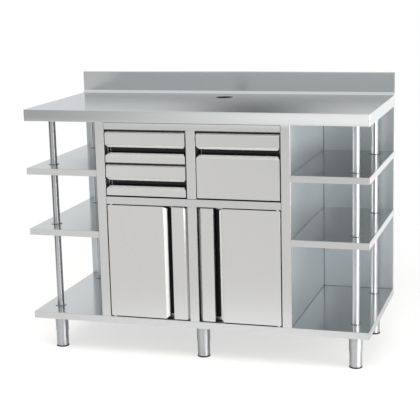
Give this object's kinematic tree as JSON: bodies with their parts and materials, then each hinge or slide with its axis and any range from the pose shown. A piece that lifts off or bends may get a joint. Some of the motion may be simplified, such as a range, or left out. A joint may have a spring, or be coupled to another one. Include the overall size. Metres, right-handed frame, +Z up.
{
  "type": "waiter service station",
  "caption": "Stainless-steel service counter with a backsplash, folded finger-pull drawers and doors, open shelves on tube posts and levelling feet.",
  "frame": {"origin": "on the floor, under the middle of the unit", "axes": "+X along the unit to the right as seen from the front, -Y towards the user, +Z up"},
  "size_m": [1.5, 0.7, 1.195],
  "materials": {
    "sheet_steel": "satin",
    "worktop_steel": "satin",
    "front_steel": "satin",
    "tube_steel": "polished",
    "foot_steel": "polished",
    "zinc_steel": "zinc plated",
    "black_plastic": "matte",
    "catch_plastic": "matte",
    "foot_rubber": "matte"
  },
  "bodies": {
    "station": {"back_panel": "sheet_steel", "base_shelf": "sheet_steel", "base_stiffeners": "sheet_steel", "cabinet_shelf": "sheet_steel", "cabinet_side_left": "sheet_steel", "cabinet_side_right": "sheet_steel", "cable_grommet": "black_plastic", "centre_stile_lower": "sheet_steel", "centre_stile_upper": "sheet_steel", "door_catches": "catch_plastic", "door_pivots": "zinc_steel", "drawer_deck": "sheet_steel", "drawer_divider": "sheet_steel", "foot_sleeves": "foot_steel", "lower_shelf_left": "sheet_steel", "lower_shelf_right": "sheet_steel", "middle_rail": "sheet_steel", "post_collars": "tube_steel", "post_tie_rods": "zinc_steel", "post_tubes": "tube_steel", "runner_cabinet_members": "zinc_steel", "runner_carrier_left": "sheet_steel", "runner_carrier_right": "sheet_steel", "shelf_clips": "sheet_steel", "stile_left": "sheet_steel", "stile_right": "sheet_steel", "top_rail": "sheet_steel", "upper_shelf_left": "sheet_steel", "upper_shelf_right": "sheet_steel", "worktop": "worktop_steel", "worktop_stiffeners": "sheet_steel"},
    "drawer_upper_left": {"drawer_front_upper_left": "front_steel", "drawer_box_upper_left": "sheet_steel", "runner_drawer_members_upper_left": "zinc_steel"},
    "runner_upper_left": {"runner_middle_members_upper_left": "zinc_steel"},
    "drawer_lower_left": {"drawer_front_lower_left": "front_steel", "drawer_box_lower_left": "sheet_steel", "runner_drawer_members_lower_left": "zinc_steel"},
    "runner_lower_left": {"runner_middle_members_lower_left": "zinc_steel"},
    "drawer_right": {"drawer_front_right": "front_steel", "drawer_box_right": "sheet_steel", "runner_drawer_members_right": "zinc_steel"},
    "runner_right": {"runner_middle_members_right": "zinc_steel"},
    "door_left": {"door_front_left": "front_steel", "door_liner_left": "sheet_steel"},
    "door_right": {"door_front_right": "front_steel", "door_liner_right": "sheet_steel"},
    "foot_front_left": {"foot_insert_front_left": "foot_steel", "foot_pad_front_left": "foot_rubber"},
    "foot_front_right": {"foot_insert_front_right": "foot_steel", "foot_pad_front_right": "foot_rubber"},
    "foot_rear_left": {"foot_insert_rear_left": "foot_steel", "foot_pad_rear_left": "foot_rubber"},
    "foot_rear_right": {"foot_insert_rear_right": "foot_steel", "foot_pad_rear_right": "foot_rubber"},
    "foot_front_middle": {"foot_insert_front_middle": "foot_steel", "foot_pad_front_middle": "foot_rubber"},
    "foot_rear_middle": {"foot_insert_rear_middle": "foot_steel", "foot_pad_rear_middle": "foot_rubber"}
  },
  "joints": [
    {"name": "drawer_upper_left_slide", "type": "slide", "parent": "station", "child": "drawer_upper_left", "axis": [0, -1, 0], "range_m": [0, 0.45]},
    {"name": "runner_upper_left_slide", "type": "slide", "parent": "station", "child": "runner_upper_left", "axis": [0, -1, 0], "range_m": [0, 0.225]},
    {"name": "drawer_lower_left_slide", "type": "slide", "parent": "station", "child": "drawer_lower_left", "axis": [0, -1, 0], "range_m": [0, 0.45]},
    {"name": "runner_lower_left_slide", "type": "slide", "parent": "station", "child": "runner_lower_left", "axis": [0, -1, 0], "range_m": [0, 0.225]},
    {"name": "drawer_right_slide", "type": "slide", "parent": "station", "child": "drawer_right", "axis": [0, -1, 0], "range_m": [0, 0.45]},
    {"name": "runner_right_slide", "type": "slide", "parent": "station", "child": "runner_right", "axis": [0, -1, 0], "range_m": [0, 0.225]},
    {"name": "door_left_hinge", "type": "hinge", "parent": "station", "child": "door_left", "pos_m": [-0.3665, -0.34, 0.192], "axis": [0, 0, -1], "range_deg": [0, 110]},
    {"name": "door_right_hinge", "type": "hinge", "parent": "station", "child": "door_right", "pos_m": [0.3665, -0.34, 0.192], "axis": [0, 0, 1], "range_deg": [0, 110]},
    {"name": "foot_front_left_screw", "type": "slide", "parent": "station", "child": "foot_front_left", "axis": [0, 0, -1], "range_m": [-0.04, 0.025]},
    {"name": "foot_front_right_screw", "type": "slide", "parent": "station", "child": "foot_front_right", "axis": [0, 0, -1], "range_m": [-0.04, 0.025]},
    {"name": "foot_rear_left_screw", "type": "slide", "parent": "station", "child": "foot_rear_left", "axis": [0, 0, -1], "range_m": [-0.04, 0.025]},
    {"name": "foot_rear_right_screw", "type": "slide", "parent": "station", "child": "foot_rear_right", "axis": [0, 0, -1], "range_m": [-0.04, 0.025]},
    {"name": "foot_front_middle_screw", "type": "slide", "parent": "station", "child": "foot_front_middle", "axis": [0, 0, -1], "range_m": [-0.04, 0.025]},
    {"name": "foot_rear_middle_screw", "type": "slide", "parent": "station", "child": "foot_rear_middle", "axis": [0, 0, -1], "range_m": [-0.04, 0.025]}
  ],
  "couplings": [
    {"joint": "runner_upper_left_slide", "follows": "drawer_upper_left_slide", "ratio": 0.5},
    {"joint": "runner_lower_left_slide", "follows": "drawer_lower_left_slide", "ratio": 0.5},
    {"joint": "runner_right_slide", "follows": "drawer_right_slide", "ratio": 0.5}
  ]
}
